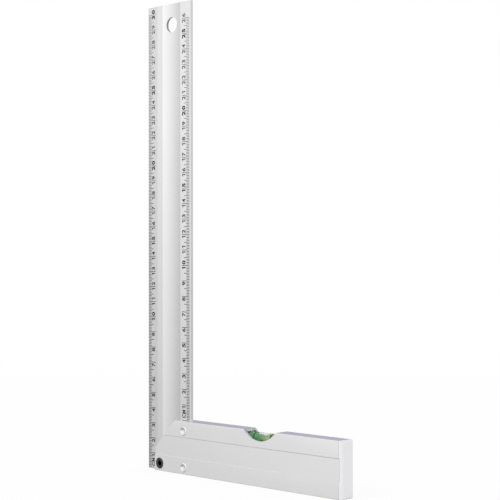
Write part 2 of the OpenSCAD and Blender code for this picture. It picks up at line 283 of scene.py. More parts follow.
class Finish:
    """One material on a Principled shader, with short ways to add nodes"""

    def __init__(self, name, **sockets):
        self.material = bpy.data.materials.new(name)
        self.material.use_nodes = True
        self.tree = self.material.node_tree
        self.shader = self.tree.nodes["Principled BSDF"]
        for socket, value in sockets.items():
            self.shader.inputs[socket.replace("_", " ")].default_value = value

    def node(self, kind, links=(), values=(), **settings):
        """Adds a node; links and values are (socket, what goes in)"""
        node = self.tree.nodes.new("ShaderNode" + kind)
        for name, value in settings.items():
            setattr(node, name, value)
        for socket, value in values:
            node.inputs[socket].default_value = value
        for socket, source in links:
            self.tree.links.new(source, node.inputs[socket])
        return node

    def feed(self, socket, source):
        self.tree.links.new(source, self.shader.inputs[socket])

    def place(self, stretch=(1, 1, 1)):
        """Object coordinates in metres, stretched by shares along X, Y and Z"""
        where = self.node("TexCoord").outputs["Object"]
        return self.node("Mapping", [("Vector", where)], [("Scale", stretch)]).outputs[0]

    def noise(self, place, scale, detail=3.0, roughness=0.5):
        return self.node("TexNoise", [("Vector", place)], [
            ("Scale", scale), ("Detail", detail), ("Roughness", roughness)]).outputs["Fac"]

    def between(self, source, low, high, source_low=0.3, source_high=0.7):
        """Maps a pattern's middle range to a range of numbers"""
        return self.node("MapRange", [("Value", source)], [
            ("From Min", source_low), ("From Max", source_high),
            ("To Min", low), ("To Max", high)]).outputs["Result"]

    def tones(self, source, colour, spread, source_low=0.3, source_high=0.7):
        """A colour that a pattern lightens and darkens by a share"""
        ramp = self.node("ValToRGB", [("Fac", source)])
        ramp.color_ramp.elements[0].position = source_low
        ramp.color_ramp.elements[1].position = source_high
        ramp.color_ramp.elements[0].color = (*[c * (1 - spread) for c in colour], 1)
        ramp.color_ramp.elements[1].color = (*[min(c * (1 + spread), 1) for c in colour], 1)
        return ramp.outputs["Color"]

    def mix(self, share, first, second):
        """Goes from the first colour to the second one as a share goes from 0 to 1"""
        node = self.node("Mix", data_type="RGBA")
        for socket, source in ((0, share), (6, first), (7, second)):
            if isinstance(source, tuple):
                node.inputs[socket].default_value = source
            else:
                self.tree.links.new(source, node.inputs[socket])
        return node.outputs[2]

    def bump(self, source, depth, normal=None):
        """Relief of a real depth in metres"""
        links = [("Height", source)] + ([("Normal", normal)] if normal else [])
        return self.node("Bump", links, [("Strength", 1.0), ("Distance", depth)]).outputs[0]


def anodised(name, colour, along, roughness):
    """Satin anodised aluminium with the fine die lines that an extrusion has along it"""
    finish = Finish(name, Metallic=1.0, Specular_Tint=(1, 1, 1, 1))
    stretch = [1.0, 1.0, 1.0]
    stretch["XYZ".index(along)] = DIE_LINES
    lines = finish.noise(finish.place(stretch), scale=3500, detail=2.0)
    grain = finish.noise(finish.place(), scale=2600, detail=4.0)
    cloud = finish.noise(finish.place(), scale=28, detail=2.0)
    finish.feed("Base Color", finish.tones(cloud, colour, spread=0.012))
    finish.feed("Roughness", finish.between(
        lines, roughness - ROUGH_SPREAD, roughness + ROUGH_SPREAD))
    line_relief = finish.bump(lines, depth=0.0006 * MM)
    finish.feed("Normal", finish.bump(grain, depth=0.0012 * MM, normal=line_relief))
    return finish.material


def milled(name, colour):
    """Bare aluminium as the cutter left it, with fine tool marks"""
    finish = Finish(name, Metallic=0.6)
    marks = finish.noise(
        finish.place((1.0, 0.5, 1.0)), scale=1600, detail=4.0, roughness=0.7)
    finish.feed("Base Color", finish.tones(
        marks, colour, spread=0.55, source_low=0.4, source_high=0.6))
    finish.feed("Roughness", finish.between(marks, low=0.28, high=0.48))
    finish.feed("Normal", finish.bump(marks, depth=0.02 * MM))
    return finish.material


def printed_ink(name, colour):
    """Matt screen print, slightly uneven"""
    finish = Finish(name, Specular_IOR_Level=0.35)
    uneven = finish.noise(finish.place(), PRINT_GRAIN, detail=3.0)
    finish.feed("Base Color", finish.tones(uneven, colour, PRINT_SPREAD))
    finish.feed("Roughness", finish.between(uneven, *PRINT_ROUGHNESS))
    return finish.material


def fading_print(name, colour, thin_colour, thin_from):
    """Screen print that grows thinner and greyer up the blade"""
    finish = Finish(name, Specular_IOR_Level=0.35)
    uneven = finish.noise(finish.place(), PRINT_GRAIN, detail=3.0)
    z = finish.node("SeparateXYZ", [("Vector", finish.place())]).outputs["Z"]
    thin = finish.between(z, 0, 1, thin_from, BLADE_HIGH.z)
    finish.feed("Base Color", finish.mix(thin, finish.tones(uneven, colour, PRINT_SPREAD),
                                         finish.tones(uneven, thin_colour, PRINT_SPREAD)))
    finish.feed("Roughness", finish.between(uneven, *PRINT_ROUGHNESS))
    return finish.material


def moulded(name, colour, roughness, joint=None):
    """Moulded plastic with a fine spark eroded grain; joint is an X where the piece meets its
    neighbour, and there a thin line of painted shadow darkens the colour"""
    finish = Finish(name, Specular_IOR_Level=0.4)
    texture = finish.noise(finish.place(), scale=2200, detail=3.0)
    cloud = finish.noise(finish.place(), scale=60, detail=2.0)
    base = finish.tones(cloud, colour, spread=0.01)
    if joint is not None:
        # painted shadow: the colour is darkened in a thin line just past the joint
        x = finish.node("SeparateXYZ", [("Vector", finish.place())]).outputs["X"]
        shade = finish.between(x, PAINTED_JOINT_SHADE, 1, joint + JOINT_FROM, joint + JOINT_TO)
        base = finish.node("VectorMath", [(0, base), ("Scale", shade)],
                           operation="SCALE").outputs[0]
    finish.feed("Base Color", base)
    finish.feed("Roughness", finish.between(texture, roughness - 0.04, roughness + 0.06))
    finish.feed("Normal", finish.bump(texture, MOULD_GRAIN))
    return finish.material


def turned_metal(name, colour, roughness, spread):
    """Small turned or pressed metal, faintly streaked"""
    finish = Finish(name, Metallic=1.0)
    streak = finish.noise(finish.place((1.0, 0.2, 1.0)), scale=2400, detail=3.0)
    finish.feed("Base Color", finish.tones(streak, colour, spread))
    finish.feed("Roughness", finish.between(streak, roughness - 0.04, roughness + 0.06))
    return finish.material


def clear_acrylic(colour):
    """Clear plastic of the vial"""
    finish = Finish("vial acrylic", IOR=1.49, Transmission_Weight=1.0)
    drift = finish.noise(finish.place(), scale=160, detail=2.0)
    finish.feed("Base Color", finish.tones(drift, colour, spread=0.03))
    finish.feed("Roughness", finish.between(drift, low=0.01, high=0.03))
    return finish.material


def dyed_spirit(dye_colour, painted_light_colour, cloudy):
    """Dyed spirit with painted light, a lighter colour right of the middle; cloudy is the
    share of its colour that scatters"""
    finish = Finish("dyed spirit", IOR=1.36, Roughness=0.0, Transmission_Weight=1 - cloudy)
    x = finish.node("SeparateXYZ", [("Vector", finish.place())]).outputs["X"]
    drift = finish.noise(finish.place(), scale=160, detail=2.0)
    wander = finish.between(drift, -PAINTED_LIGHT_WANDER, PAINTED_LIGHT_WANDER)
    middle = (VIAL_LOW.x + VIAL_HIGH.x) / 2
    along = finish.between(x, 0, 1, middle + PAINTED_LIGHT_FROM, middle + PAINTED_LIGHT_TO)
    share = finish.node("Math", [(0, along), (1, wander)], operation="ADD", use_clamp=True)
    # painted light: the dye's colour gives way to the lighter one right of the middle
    dye_and_painted_light = finish.node("ValToRGB", [("Fac", share.outputs[0])])
    dye_and_painted_light.color_ramp.elements[0].color = (*dye_colour, 1)
    dye_and_painted_light.color_ramp.elements[1].color = (*dye_colour, 1)
    for position in PAINTED_LIGHT_PART:
        dye_and_painted_light.color_ramp.elements.new(position).color = (*painted_light_colour, 1)
    finish.feed("Base Color", dye_and_painted_light.outputs["Color"])
    return finish.material


# Pieces

def mesh_from(name, bm):
    """A mesh with what a bmesh holds, which is freed"""
    mesh = bpy.data.meshes.new(name)
    bm.to_mesh(mesh)
    bm.free()
    return mesh


def add_piece(name, bm, materials, replaced=()):
    """Makes a bmesh a piece that rides with the square"""
    mesh = mesh_from(name, bm)
    if CAD_NORMALS in mesh.attributes:
        mesh.attributes.remove(mesh.attributes[CAD_NORMALS])
    for material in materials:
        mesh.materials.append(material)
    piece = bpy.data.objects.new(name, mesh)
    bpy.context.scene.collection.objects.link(piece)
    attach(piece, "root")
    if replaced:
        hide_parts(*replaced)
    return piece


def finish_node(node, material):
    """Gives a CAD node that stays its material"""
    slots = frame["nodes"][node].data.materials
    slots.clear()
    slots.append(material)


def merged_copy(node):
    """A CAD node's mesh with its loose triangles joined into whole faces"""
    bm = bmesh.new()
    bm.from_mesh(frame["nodes"][node].data)
    bmesh.ops.remove_doubles(bm, verts=bm.verts, dist=WELD)
    bmesh.ops.dissolve_limit(bm, angle_limit=FLAT, verts=bm.verts, edges=bm.edges)
    return bm


def mesh_object(name, bm):
    """A plain object from a bmesh, for a modifier to work on"""
    thing = bpy.data.objects.new(name, mesh_from(name, bm))
    bpy.context.scene.collection.objects.link(thing)
    return thing


def cut_away(bm, cutter_bm):
    """The first bmesh with the second one cut out of it"""
    body, cutter = mesh_object("body", bm), mesh_object("cutter", cutter_bm)
    boolean = body.modifiers.new("Cut", "BOOLEAN")
    boolean.operation = "DIFFERENCE"
    boolean.solver = "EXACT"
    boolean.object = cutter
    graph = bpy.context.evaluated_depsgraph_get()
    cut = bmesh.new()
    cut.from_object(body, graph)
    for thing in (body, cutter):
        mesh = thing.data
        bpy.data.objects.remove(thing)
        bpy.data.meshes.remove(mesh)
    return cut


def break_edges(piece, width, angle=30, sharp_x=None):
    """Rounds each edge that turns by more than an angle in degrees, but none at an X where
    the piece meets its neighbour"""
    bm = bmesh.new()
    bm.from_mesh(piece.data)
    weight = bm.edges.layers.float.new("bevel_weight_edge")
    for edge in bm.edges:
        turned = edge.calc_face_angle(0) > math.radians(angle)
        joined = sharp_x is not None and all(
            abs(vert.co.x - sharp_x) < WELD for vert in edge.verts)
        edge[weight] = 1.0 if turned and not joined else 0.0
    bm.to_mesh(piece.data)
    bm.free()
    bevel = piece.modifiers.new("Broken edges", "BEVEL")
    bevel.width = width
    bevel.segments = BREAK_STEPS
    bevel.limit_method = "WEIGHT"
    bevel.harden_normals = True
    bevel.use_clamp_overlap = True


def smooth_faces(piece, angle):
    """Shades smoothly across edges that turn by less than an angle in degrees"""
    piece.data.shade_smooth()
    piece.data.set_sharp_from_angle(angle=math.radians(angle))


def ring(bm, radius, y, x, z, steps, sides):
    """A ring of edges across the stock, with a number of flat sides, or round for 0"""
    place = Matrix.Translation((x, y, z)) @ Matrix.Rotation(math.pi / 2, 4, "X")
    made = bmesh.ops.create_circle(
        bm, cap_ends=False, segments=sides or steps, radius=radius, matrix=place)
    edges = list({edge for vert in made["verts"] for edge in vert.link_edges})
    if sides:
        split = bmesh.ops.subdivide_edges(bm, edges=edges, cuts=steps // sides - 1)
        edges = [part for part in split["geom"] if isinstance(part, bmesh.types.BMEdge)]
    return edges


def stacked_rings(rings, x, z, steps):
    """A closed body from rings (radius, y, sides) that are bridged one to the next"""
    bm = bmesh.new()
    loops = [ring(bm, radius, y, x, z, steps, sides) for radius, y, sides in rings]
    for first, second in zip(loops, loops[1:]):
        bmesh.ops.bridge_loops(bm, edges=first + second)
    for loop in (loops[0], loops[-1]):
        bmesh.ops.edgeloop_fill(bm, edges=loop)
    bmesh.ops.recalc_face_normals(bm, faces=bm.faces)
    return bm


def spun(points, centre, axis, steps):
    """A body turned from a flat outline about an axis through a centre"""
    bm = bmesh.new()
    verts = [bm.verts.new(point) for point in points]
    edges = [bm.edges.new(pair) for pair in zip(verts, verts[1:])]
    bmesh.ops.spin(bm, geom=verts + edges, cent=centre, axis=axis, angle=2 * math.pi,
                   steps=steps, use_merge=True)
    bmesh.ops.remove_doubles(bm, verts=bm.verts, dist=WELD)
    bmesh.ops.recalc_face_normals(bm, faces=bm.faces)
    return bm


def pulled_up(outline, z, height):
    """A body pulled straight up from an outline of (x, y)"""
    bm = bmesh.new()
    face = bm.faces.new([bm.verts.new((x, y, z)) for x, y in outline])
    raised = bmesh.ops.extrude_face_region(bm, geom=[face])
    top = [part for part in raised["geom"] if isinstance(part, bmesh.types.BMVert)]
    bmesh.ops.translate(bm, verts=top, vec=(0, 0, height))
    bmesh.ops.recalc_face_normals(bm, faces=bm.faces)
    return bm


def face_y(x, settings):
    """Y of the blade's banded face at an X, hollow left out"""
    slope_end = BLADE_LOW.x + settings.outer_band
    share = max(0.0, (slope_end - x) / settings.outer_band)
    return BLADE_LOW.y + settings.outer_drop * share


class SQUARE_OT_blade(bpy.types.Operator):
    """Banded and hollowed strip with its hanging hole"""
    bl_idname = "try_square.blade"
    bl_label = "Blade"

    def execute(self, context):
        s = context.scene.square_blade
        left, right = BLADE_LOW.x, BLADE_HIGH.x
        front, back = BLADE_LOW.y, BLADE_HIGH.y
        trough_from = left + s.outer_band + s.ledge
        trough_to = right - s.inner_band
        middle, half = (trough_from + trough_to) / 2, (trough_to - trough_from) / 2
        radius = (half ** 2 + s.trough_depth ** 2) / (2 * s.trough_depth)
        reach = math.asin(half / radius)
        outline = [(left, front + s.outer_drop), (left + s.outer_band, front)]
        for step in range(s.trough_steps + 1):
            turn = reach * (2 * step / s.trough_steps - 1)
            sink = s.trough_depth - radius * (1 - math.cos(turn))
            outline.append((middle + radius * math.sin(turn), front + sink))
        outline += [(right, front), (right, back), (left, back)]

        bm = pulled_up(outline, BLADE_LOW.z, BLADE_HIGH.z - BLADE_LOW.z)

        drill = bmesh.new()
        x, _, z = HOLE["pos_m"]
        hole_radius = HOLE["dims"]["r_mm"] * MM
        through = Matrix.Translation((x, 0, z)) @ Matrix.Rotation(math.pi / 2, 4, "X")
        bmesh.ops.create_cone(drill, cap_ends=True, segments=FINE_STEPS,
                              radius1=hole_radius, radius2=hole_radius,
                              depth=DRILL_REACH * (back - front), matrix=through)
        bm = cut_away(bm, drill)
        bmesh.ops.dissolve_limit(bm, angle_limit=FLATTER, verts=bm.verts, edges=bm.edges)
        for face in bm.faces:
            centre = face.calc_center_median()
            drilled = math.hypot(centre.x - x, centre.z - z) < hole_radius
            face.material_index = 1 if drilled and abs(face.normal.y) < ACROSS else 0
        blade = add_piece("graduated_blade", bm, [
            anodised("satin blade", s.colour, "Z", s.roughness),
            turned_metal("drilled aluminium", s.hole_colour, 0.3, 0.1)], ["blade"])
        break_edges(blade, s.edge_break)
        return {"FINISHED"}


class SQUARE_OT_lines(bpy.types.Operator):
    """Ink of the graduation lines, spread a little by the print"""
    bl_idname = "try_square.lines"
    bl_label = "Graduation lines"

    def execute(self, context):
        s = context.scene.square_numbers
        ink = fading_print("line ink", s.colour, s.thin_line, s.thin_from)
        for node, zero_z in (("scale_outer", 0.0), ("scale_inner", STOCK_HIGH.z)):
            bm = merged_copy(node)
            for vert in bm.verts:
                line_z = zero_z + round((vert.co.z - zero_z) / MM) * MM
                vert.co.z = line_z + (vert.co.z - line_z) * s.spread
            add_piece("inked_" + node, bm, [ink], [node])
        return {"FINISHED"}


def flagged_one(settings, offset):
    """Mesh of a 1 with a flag, in font units"""
    right, top = settings.one_width, settings.one_height
    left = right - settings.one_stem - 2 * offset
    drop = top - settings.flag_top
    outline = [(left, 0), (right, 0), (right, top), (left, top), (0, settings.flag_top),
               (0, settings.flag_low), (left, settings.flag_low + drop)]
    return mesh_from("glyph", pulled_up(outline, -GLYPH_HALF, 2 * GLYPH_HALF))


def font_letter(letter, offset):
    """Mesh of a letter of the built-in font, in font units"""
    text = bpy.data.curves.new("glyph", "FONT")
    text.body = letter
    text.align_x = "CENTER"
    text.offset = offset
    text.extrude = GLYPH_HALF
    text.resolution_u = 4
    holder = bpy.data.objects.new("glyph", text)
    bpy.context.scene.collection.objects.link(holder)
    bpy.context.view_layer.update()
    mesh = bpy.data.meshes.new_from_object(holder)
    bpy.data.objects.remove(holder)
    bpy.data.curves.remove(text)
    return mesh


def glyph(letter, settings, bold):
    """Mesh of one letter, centred across, standing on its foot, at the right height"""
    offset = settings.bold if bold else settings.weight
    widest = settings.widest_bold if bold else settings.widest
    mesh = flagged_one(settings, offset) if letter == "1" else font_letter(letter, offset)
    for face in mesh.polygons:
        face.material_index = int(bold)
    across = [v.co.x for v in mesh.vertices]
    upright = [v.co.y for v in mesh.vertices]
    size = settings.height / (max(upright) - min(upright))
    width = min(size * settings.widen, widest / (max(across) - min(across)))
    mesh.transform(Matrix.Diagonal((width, size, settings.ink_depth, 1))
                   @ Matrix.Translation((-(min(across) + max(across)) / 2,
                                         -min(upright), 0)))
    return mesh


def print_numbers(name, settings, blade, inks, base, zero_z, last):
    """One scale's numbers and the unit beside its first one; inks are plain and bold"""
    turn = Matrix(((0, -1, 0, 0), (0, 0, -1, 0), (1, 0, 0, 0), (0, 0, 0, 1)))
    base_x = BLADE_LOW.x + base
    slope = math.atan2(face_y(base_x - settings.height, blade) - face_y(base_x, blade),
                       settings.height)
    tilt = Matrix.Rotation(slope, 4, "Z")
    glyphs = {}
    bm = bmesh.new()

    def put(letter, z, bold):
        key = (letter, bold)
        if key not in glyphs:
            glyphs[key] = glyph(letter, settings, bold)
        mesh = glyphs[key].copy()
        place = Matrix.Translation((base_x, face_y(base_x, blade), z))
        mesh.transform(place @ tilt.inverted() @ turn)
        bm.from_mesh(mesh)
        bpy.data.meshes.remove(mesh)

    for number in range(1, last + 1):
        z = zero_z + number * NUMBER_STEP * MM
        digits = str(number)
        bold = number % BOLD_STEP == 0
        put(digits[0], z - settings.below, bold)
        if len(digits) > 1:
            put(digits[1], z + settings.above, bold)
    unit_z = zero_z + NUMBER_STEP * MM - settings.below - settings.unit_gap
    put("M", unit_z, False)
    put("C", unit_z - settings.unit_gap, False)
    for mesh in glyphs.values():
        bpy.data.meshes.remove(mesh)
    add_piece(name, bm, inks)


class SQUARE_OT_numbers(bpy.types.Operator):
    """Printed numbers of both scales"""
    bl_idname = "try_square.numbers"
    bl_label = "Numbers"

    def execute(self, context):
        s, blade = context.scene.square_numbers, context.scene.square_blade
        inks = [fading_print("number ink", s.colour, s.thin_number, s.thin_from),
                printed_ink("bold number ink", s.colour)]
        print_numbers("outer_numbers", s, blade, inks, s.outer_base, 0.0, OUTER_LAST)
        print_numbers("inner_numbers", s, blade, inks, s.inner_base, STOCK_HIGH.z,
                      INNER_LAST)
        return {"FINISHED"}


class SQUARE_OT_stock(bpy.types.Operator):
    """Banded extrusion, mitred, slotted and milled for the vial"""
    bl_idname = "try_square.stock"
    bl_label = "Stock"

    def execute(self, context):
        s = context.scene.square_stock
        bm = merged_copy("stock")
        cutter_x = (VIAL_LOW.x + VIAL_HIGH.x) / 2
        cutter_z = STOCK_HIGH.z - s.window_depth + s.window_radius
        for face in bm.faces:
            middle = face.calc_center_median()
            away = math.hypot(middle.x - cutter_x, middle.z - cutter_z)
            on_arc = abs(away - s.window_radius) < ON_ARC
            in_window = on_arc and abs(face.normal.y) < UPRIGHT
            sawn = face.normal.x < MITRED or face.normal.x > SAWN_SQUARE
            face.material_index = 1 if in_window or sawn else 0
        stock = add_piece("milled_stock", bm, [
            anodised("satin stock", s.colour, "X", s.roughness),
            milled("milled aluminium", s.milled_colour)], ["stock"])
        smooth_faces(stock, 25)
        break_edges(stock, s.edge_break, sharp_x=STOCK_HIGH.x)
        return {"FINISHED"}


class SQUARE_OT_packers(bpy.types.Operator):
    """Moulded packers beside the blade"""
    bl_idname = "try_square.packers"
    bl_label = "Packers"

    def execute(self, context):
        plastic = moulded("packer plastic", context.scene.square_stock.packer_colour, 0.5)
        for node in ("packer_front", "packer_back"):
            finish_node(node, plastic)
        return {"FINISHED"}


class SQUARE_OT_screw(bpy.types.Operator):
    """Black socket screw and its nut"""
    bl_idname = "try_square.screw"
    bl_label = "Screw"

    def execute(self, context):
        s = context.scene.square_stock
        x, z = (SCREW_LOW.x + SCREW_HIGH.x) / 2, (SCREW_LOW.z + SCREW_HIGH.z) / 2
        head_r = (SCREW_HIGH.x - SCREW_LOW.x) / 2
        front, back = SCREW_LOW.y, SCREW_HIGH.y
        head_back = front + s.head_height
        socket_r = s.socket_flats / math.sqrt(3)
        rings = [(socket_r / 3, front + s.socket_depth + socket_r / 5, 0),
                 (socket_r, front + s.socket_depth, HEXAGON),
                 (socket_r, front + s.socket_break, HEXAGON),
                 (socket_r + s.socket_break, front, 0)]
        for turn in HEAD_TURNS:
            across = s.head_round * (1 - math.sin(math.radians(turn)))
            down = s.head_round * (1 - math.cos(math.radians(turn)))
            rings.append((head_r - across, front + down, 0))
        rings += [(head_r, head_back, 0),
                  (s.screw_radius, head_back, 0),
                  (s.screw_radius, back - s.head_round, 0),
                  (s.screw_radius - s.head_round, back, 0)]
        bm = stacked_rings(rings, x, z, FINE_STEPS)
        screw = add_piece("socket_screw", bm, [
            turned_metal("black oxide", s.screw_colour, 0.38, 0.2)], ["heel_screw"])
        smooth_faces(screw, 30)
        finish_node("heel_nut", turned_metal("zinc plate", s.nut_colour, 0.3, 0.05))
        return {"FINISHED"}


class SQUARE_OT_rivets(bpy.types.Operator):
    """Flared and dished rivets"""
    bl_idname = "try_square.rivets"
    bl_label = "Rivets"

    def execute(self, context):
        s = context.scene.square_stock
        bright = turned_metal("bright rivet", s.rivet_colour, 0.2, 0.03)
        for node in ("rivet_lower", "rivet_upper"):
            low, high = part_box(node)
            x, z = (low.x + high.x) / 2, (low.z + high.z) / 2
            head_r, end = (high.x - low.x) / 2, high.y
            face = STOCK_HIGH.y
            shank_r = s.rivet_shank
            crest_r = head_r - s.rivet_flank
            wall = crest_r - s.rivet_crest - s.rivet_floor
            dish = [(0.0, end - s.rivet_dish)]
            for step in range(DISH_STEPS + 1):
                share = step / DISH_STEPS
                rise = share * share * (3 - 2 * share)
                dish.append((s.rivet_floor + share * wall, end - s.rivet_dish * (1 - rise)))
            rim = [(crest_r, end), (head_r, face)]
            cone = [(shank_r, face - (head_r - shank_r))]
            half = dish + rim + cone
            points = [(x + r, -y, z) for r, y in half]
            points += [(x + r, y, z) for r, y in reversed(half)]
            bm = spun(points, (x, 0, z), (0, 1, 0), RIVET_STEPS)
            piece = add_piece("flared_" + node, bm, [bright], [node])
            smooth_faces(piece, 35)
        return {"FINISHED"}


class SQUARE_OT_vial(bpy.types.Operator):
    """Acrylic tube, dyed spirit with its bubble, rings and cradle"""
    bl_idname = "try_square.vial"
    bl_label = "Spirit vial"

    def execute(self, context):
        s = context.scene.square_vial
        z = (VIAL_LOW.z + VIAL_HIGH.z) / 2
        tube_r = (VIAL_HIGH.y - VIAL_LOW.y) / 2
        chamber_r = (LIQUID_HIGH.y - LIQUID_LOW.y) / 2
        plug_r = (PLUG_HIGH.y - PLUG_LOW.y) / 2
        middle = (LIQUID_LOW.x + LIQUID_HIGH.x) / 2
        half = (LIQUID_HIGH.x - LIQUID_LOW.x) / 2

        def barrel(grow):
            """Points along the chamber's side, grown by a margin"""
            points = []
            for step in range(BARREL_STEPS + 1):
                share = 2 * step / BARREL_STEPS - 1
                points.append((middle + share * (half + grow),
                               chamber_r - s.barrel_rise * share ** 2 + grow))
            return points

        end = s.round_end
        outer = [(VIAL_HIGH.x, plug_r), (VIAL_HIGH.x, tube_r - end),
                 (VIAL_HIGH.x - end, tube_r), (VIAL_LOW.x + end, tube_r),
                 (VIAL_LOW.x, tube_r - end), (VIAL_LOW.x, 0)]
        wall = [(LIQUID_LOW.x, 0)] + barrel(0) + outer
        bm = spun([(x, 0, z + r) for x, r in wall], (0, 0, z), (1, 0, 0), FINE_STEPS)
        acrylic = clear_acrylic(s.tube_colour)
        tube = add_piece("clear_vial", bm, [acrylic], ["vial_tube"])
        smooth_faces(tube, 25)

        grow = s.wetting
        fill = [(LIQUID_LOW.x - grow, 0)] + barrel(grow) + [(LIQUID_HIGH.x + grow, 0)]
        liquid = spun([(x, 0, z + r) for x, r in fill], (0, 0, z), (1, 0, 0), FINE_STEPS)
        bubble = bmesh.new()
        bubble_x = (VIAL_LOW.x + VIAL_HIGH.x) / 2
        bubble_z = z + chamber_r - s.bubble_depth + s.bubble_radius
        bmesh.ops.create_uvsphere(
            bubble, u_segments=FINE_STEPS, v_segments=BUBBLE_STEPS, radius=s.bubble_radius,
            matrix=Matrix.Translation((bubble_x, 0, bubble_z)))
        bm = cut_away(liquid, bubble)
        # the spirit's colour carries painted light right of the middle
        spirit = dyed_spirit(s.liquid_colour, s.liquid_light, s.cloudy)
        filling = add_piece("green_spirit_with_painted_light", bm, [spirit], ["vial_liquid"])
        smooth_faces(filling, 30)

        finish_node("vial_plug", acrylic)
        ring_ink = printed_ink("ring ink", s.ring_colour)
        for node in ("vial_ring_left", "vial_ring_right"):
            finish_node(node, ring_ink)
        finish_node("vial_cradle", moulded("cradle plastic", s.cradle_colour, 0.45))
        return {"FINISHED"}


class SQUARE_OT_cap(bpy.types.Operator):
    """Moulded end cap"""
    bl_idname = "try_square.cap"
    bl_label = "End cap"

    def execute(self, context):
        s = context.scene.square_stock
        # the cap's colour carries a thin line of painted shadow where it meets the stock
        cap = add_piece("moulded_cap", merged_copy("end_cap"),
                        [moulded("cap plastic with painted joint shadow", s.cap_colour, 0.42, joint=STOCK_HIGH.x)],
                        ["end_cap"])
        smooth_faces(cap, 30)
        break_edges(cap, s.cap_break, angle=35, sharp_x=STOCK_HIGH.x)
        return {"FINISHED"}


# Stage, in metres

LAMP_AIM = (0.0, 0.0, 0.12)
KEY_PLACE = (-0.30, -1.00, 0.80)
SIDE_PLACE = (1.10, 0.10, 0.60)
SENSOR = 36                  # width of the camera's sensor in millimetres
NEAR, FAR = 0.05, 20         # what the camera sees lies between these
FADE_FROM, FADE_TO = 0.25, 1.0    # the floor turns white between these


def soft_lamp(name, place, side, power):
    """A square area lamp turned to the stage; metal reflects the tent and not the lamp"""
    lamp = bpy.data.lights.new(name, "AREA")
    lamp.shape = "RECTANGLE"
    lamp.size = lamp.size_y = side
    lamp.energy = power
    thing = bpy.data.objects.new(name, lamp)
    thing.location = place
    thing.rotation_mode = "QUATERNION"
    thing.rotation_quaternion = (Vector(LAMP_AIM) - Vector(place)).to_track_quat("-Z", "Y")
    thing.visible_glossy = False
    bpy.context.scene.collection.objects.link(thing)


def looking_rays(tree):
    """1 for rays that look, straight, through glass or off metal, 0 for rays that light"""
    path = tree.nodes.new("ShaderNodeLightPath")
    looks = path.outputs["Is Camera Ray"]
    for kind in ("Is Transmission Ray", "Is Glossy Ray"):
        either = tree.nodes.new("ShaderNodeMath")
        either.operation = "MAXIMUM"
        tree.links.new(looks, either.inputs[0])
        tree.links.new(path.outputs[kind], either.inputs[1])
        looks = either.outputs[0]
    return looks


def white_floor(settings):
    """Pale floor that fades into the white surround and keeps a faint shadow"""
    bm = bmesh.new()
    bmesh.ops.create_grid(bm, x_segments=8, y_segments=8, size=settings.floor_size)
    floor = mesh_object("floor", bm)
    finish = Finish("pale floor", Roughness=0.9, Specular_IOR_Level=0.1)
    speckle = finish.noise(finish.place(), scale=12, detail=2.0)
    finish.feed("Base Color", finish.tones(
        speckle, settings.floor_colour, spread=0.005))
    away = finish.node("VectorMath", [(0, finish.place())], operation="LENGTH")
    fade = finish.node("MapRange", [("Value", away.outputs["Value"])], [
        ("From Min", FADE_FROM), ("From Max", FADE_TO), ("To Min", settings.floor_white)])
    share = finish.node("Math", [(0, looking_rays(finish.tree)), (1, fade.outputs["Result"])],
                        operation="MULTIPLY")
    glow = finish.node("Emission")
    mix = finish.node("MixShader", [(0, share.outputs[0]), (1, finish.shader.outputs[0]),
                                    (2, glow.outputs[0])])
    finish.tree.links.new(mix.outputs[0], finish.tree.nodes["Material Output"].inputs[0])
    floor.data.materials.append(finish.material)
    floor.visible_glossy = False


# Colours round the tent: degrees from -Y towards -X, and the grey or the colour there. The
# rings just over and just under the horizon share their part at the front left
TENT_LEFT = (
    (0, 1.08), (30, 1.05), (38, 1.00),
    (48, 0.85, 0.85, 0.86), (55, 0.68, 0.68, 0.69), (62, 0.58, 0.58, 0.60))
TENT_OVER = (
    (-180, 0.50, 0.50, 0.54), (-135, 0.61, 0.61, 0.62), (-90, 0.95),
    *TENT_LEFT,
    (90, 0.34, 0.34, 0.37), (115, 0.30, 0.30, 0.35), (135, 0.34, 0.345, 0.42),
    (180, 0.50, 0.50, 0.54))
TENT_UNDER = (
    (-180, 0.95), (-135, 0.78, 0.78, 0.79), (-90, 0.90),
    *TENT_LEFT,
    (75, 0.75), (95, 1.20), (180, 0.95))
# The ring further down, where the metal reflects the floor, and the one high up
TENT_FLOOR = (
    (-180, 0.95), (-135, 0.78, 0.78, 0.79), (-60, 0.60, 0.60, 0.61),
    (0, 0.50, 0.50, 0.51), (50, 0.50, 0.50, 0.51), (75, 0.75),
    (95, 1.20), (180, 0.95))
TENT_HIGH = (
    (-180, 0.72, 0.72, 0.73), (-120, 0.80, 0.80, 0.81), (-25, 0.85, 0.85, 0.86),
    (-5, 0.98), (30, 0.98), (70, 0.80, 0.80, 0.81),
    (180, 0.72, 0.72, 0.73))
# What is left of the tent's light above the horizon at the front and to its right
TENT_SHADE = (
    (-180, 1.00), (-115, 1.00), (-85, 0.68, 0.68, 0.69),
    (2, 0.68, 0.68, 0.69), (20, 1.00), (180, 1.00))

# Heights on the tent, as parts of its radius, between which one ring gives way to the next
FLOOR_TO_UNDER = (-0.50, -0.30)
UNDER_TO_OVER = (-0.20, -0.05)
RISE = (-0.2, 0.2)
SHADE_SETS_IN = (0.15, 0.24)
OVER_TO_HIGH = (0.40, 0.65)
BOTTOM = (-0.90, -0.72)


def round_colours(finish, turn, stops):
    """Colours round the horizon from a turn of 0 to 1"""
    colours = finish.node("ValToRGB", [("Fac", turn)])
    ramp = colours.color_ramp
    for degrees, *_ in stops[1:-1]:
        ramp.elements.new((degrees + 180) / 360)
    for element, (_, *colour) in zip(ramp.elements, stops):
        element.color = (*colour, 1) if len(colour) == 3 else (*colour * 3, 1)
    return colours.outputs["Color"]


